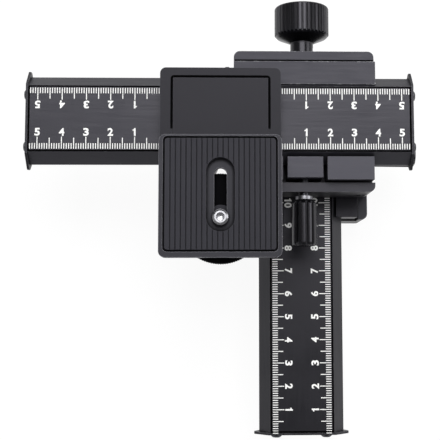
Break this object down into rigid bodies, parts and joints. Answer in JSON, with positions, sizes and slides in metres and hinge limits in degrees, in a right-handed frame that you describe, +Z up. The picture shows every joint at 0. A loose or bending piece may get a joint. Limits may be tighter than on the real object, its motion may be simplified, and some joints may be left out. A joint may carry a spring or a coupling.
{
  "type": "macro focusing rail",
  "caption": "Two crossed rack-and-pinion slides with scales, clamp knobs and end plates, carrying a ribbed camera tray with a screw in a slot, over a tripod foot.",
  "frame": {"origin": "mouth of the tripod socket, in the underside of the foot", "axes": "+Z up towards the camera; the lower slide moves along Y with the front of the long rail at -Y; the upper slide moves along X"},
  "size_m": [0.1699, 0.1871, 0.0765],
  "materials": {
    "anodised": "black anodised, satin",
    "plate_black": "black, satin",
    "moulded": "black moulded plastic, fine grain",
    "rubber": "matt black rubber",
    "steel": "turned, bright",
    "bronze": "turned"
  },
  "bodies": {
    "base": {"tripod_foot": "anodised", "foot_pad": "rubber", "tripod_bush": "steel", "foot_screws": "steel", "lower_carriage": "anodised", "lower_front_wall": "anodised", "lower_wall_screws": "steel", "lower_back_jaw": "anodised", "lower_fixed_jaws": "anodised", "lower_jaw_screws": "steel", "lower_bushes": "bronze"},
    "lower_drive": {"lower_shaft": "steel", "lower_pinion": "bronze", "lower_thrust_washers": "steel", "lower_drive_knob": "moulded", "lower_knob_grub": "steel"},
    "lower_clamp": {"lower_clamp_jaw": "anodised"},
    "lower_lock_ring": {"lower_lock_washer": "steel"},
    "lower_lock": {"lower_lock_screw": "steel", "lower_lock_knob": "moulded"},
    "lower_slide": {"lower_rail": "anodised", "lower_rack": "steel", "lower_rack_screws": "steel", "lower_front_plate": "plate_black", "lower_back_plate": "plate_black", "lower_plate_screws": "steel", "upper_carriage": "anodised", "carriage_screws": "steel", "upper_front_wall": "anodised", "upper_wall_screws": "steel", "upper_back_jaw": "anodised", "upper_fixed_jaws": "anodised", "upper_jaw_screws": "steel", "upper_bushes": "bronze"},
    "upper_drive": {"upper_shaft": "steel", "upper_pinion": "bronze", "upper_thrust_washers": "steel", "upper_drive_knob": "moulded", "upper_knob_grub": "steel"},
    "upper_clamp": {"upper_clamp_jaw": "anodised"},
    "upper_lock_ring": {"upper_lock_washer": "steel"},
    "upper_lock": {"upper_lock_screw": "steel", "upper_lock_knob": "moulded"},
    "upper_slide": {"upper_rail": "anodised", "upper_rack": "steel", "upper_rack_screws": "steel", "upper_left_plate": "plate_black", "upper_right_plate": "plate_black", "upper_plate_screws": "steel", "platform_bracket": "moulded", "bracket_screws": "steel", "bracket_cover": "moulded", "camera_tray": "moulded", "tray_screws": "steel", "tray_pad": "rubber"},
    "screw_slider": {"screw_washer": "moulded"},
    "camera_screw_and_wheel": {"camera_screw": "steel", "thumb_wheel": "moulded"}
  },
  "joints": [
    {"name": "fore_aft_slide", "type": "slide", "parent": "base", "child": "lower_slide", "axis": [0, 1, 0], "range_m": [-0.0067, 0.0925]},
    {"name": "lower_drive_turn", "type": "hinge", "parent": "base", "child": "lower_drive", "pos_m": [0, 0, 0.0158], "axis": [-1, 0, 0], "range_deg": [-72, 982]},
    {"name": "lower_lock_turn", "type": "hinge", "parent": "lower_lock_ring", "child": "lower_lock", "pos_m": [0.04, 0, 0.0236], "axis": [1, 0, 0], "range_deg": [0, 361]},
    {"name": "lower_lock_travel", "type": "slide", "parent": "base", "child": "lower_lock_ring", "axis": [1, 0, 0], "range_m": [0, 0.0008]},
    {"name": "lower_clamp_slide", "type": "slide", "parent": "base", "child": "lower_clamp", "axis": [1, 0, 0], "range_m": [0, 0.00081]},
    {"name": "left_right_slide", "type": "slide", "parent": "lower_slide", "child": "upper_slide", "axis": [1, 0, 0], "range_m": [-0.0145, 0.0847]},
    {"name": "upper_drive_turn", "type": "hinge", "parent": "lower_slide", "child": "upper_drive", "pos_m": [0, 0.0097, 0.0438], "axis": [0, 1, 0], "range_deg": [-154, 899]},
    {"name": "upper_lock_turn", "type": "hinge", "parent": "upper_lock_ring", "child": "upper_lock", "pos_m": [0, -0.0303, 0.0516], "axis": [0, -1, 0], "range_deg": [0, 361]},
    {"name": "upper_lock_travel", "type": "slide", "parent": "lower_slide", "child": "upper_lock_ring", "axis": [0, -1, 0], "range_m": [0, 0.0008]},
    {"name": "upper_clamp_slide", "type": "slide", "parent": "lower_slide", "child": "upper_clamp", "axis": [0, -1, 0], "range_m": [0, 0.00081]},
    {"name": "camera_screw_slide", "type": "slide", "parent": "upper_slide", "child": "screw_slider", "axis": [0, 1, 0], "range_m": [0, 0.0177]},
    {"name": "camera_screw_turn", "type": "hinge", "parent": "screw_slider", "child": "camera_screw_and_wheel", "pos_m": [-0.0351, -0.0324, 0.07], "axis": [0, 0, 1], "continuous": true}
  ],
  "couplings": [
    {"joint": "lower_drive_turn", "follows": "fore_aft_slide", "rad_per_m": 185.19},
    {"joint": "upper_drive_turn", "follows": "left_right_slide", "rad_per_m": 185.19},
    {"joint": "lower_lock_turn", "follows": "lower_lock_travel", "rad_per_m": 7854},
    {"joint": "lower_clamp_slide", "follows": "lower_lock_travel", "ratio": 1},
    {"joint": "upper_lock_turn", "follows": "upper_lock_travel", "rad_per_m": 7854},
    {"joint": "upper_clamp_slide", "follows": "upper_lock_travel", "ratio": 1}
  ]
}
